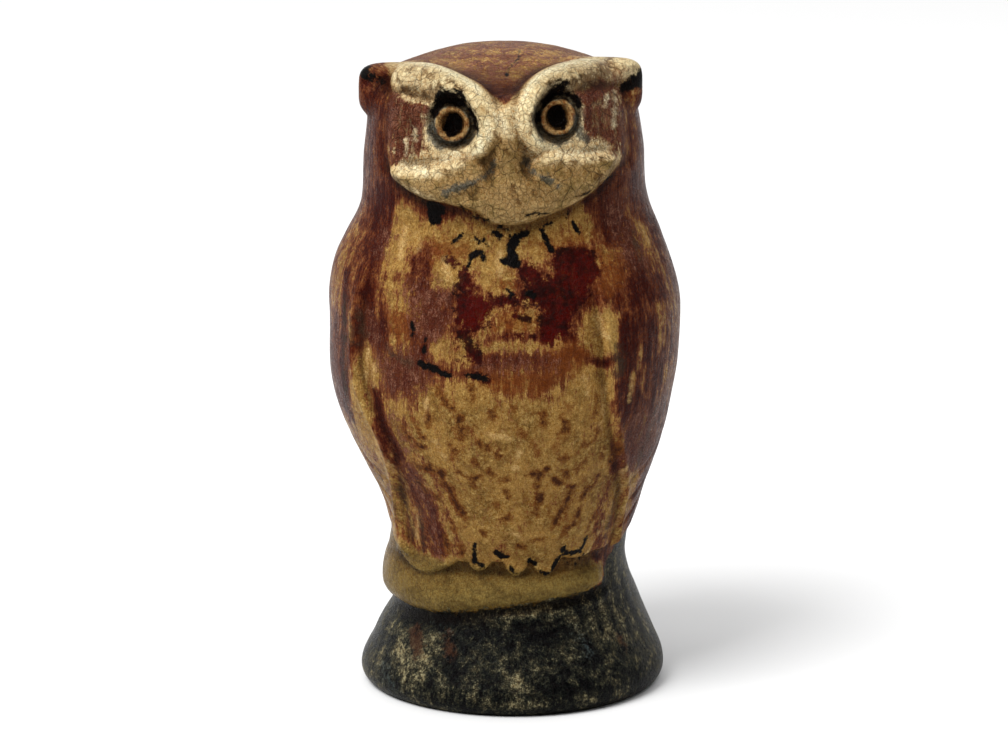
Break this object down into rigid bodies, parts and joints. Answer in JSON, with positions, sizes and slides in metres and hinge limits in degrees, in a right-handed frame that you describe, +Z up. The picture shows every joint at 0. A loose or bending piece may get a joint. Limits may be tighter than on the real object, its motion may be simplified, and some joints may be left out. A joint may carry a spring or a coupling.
{
  "type": "redware owl sculpture",
  "caption": "Hand-built glazed earthenware owl standing upright on a flared round foot, wings folded, with a modelled facial disc, heavy brows and blunt ear tufts.",
  "frame": {"origin": "middle of the footprint box of the whole owl, on the surface it stands on", "axes": "+Z up, the owl looks along -Y, +X is to the viewer's right when facing it"},
  "size_m": [0.135, 0.1254, 0.25],
  "materials": {
    "glazed_redware": "glossy lead glaze over painted slips, finely crazed: oxblood and brown streaks on head and wings, cream face, ochre breast, blue-black foot"
  },
  "bodies": {
    "root": {"redware_owl": "glazed_redware"}
  },
  "joints": []
}
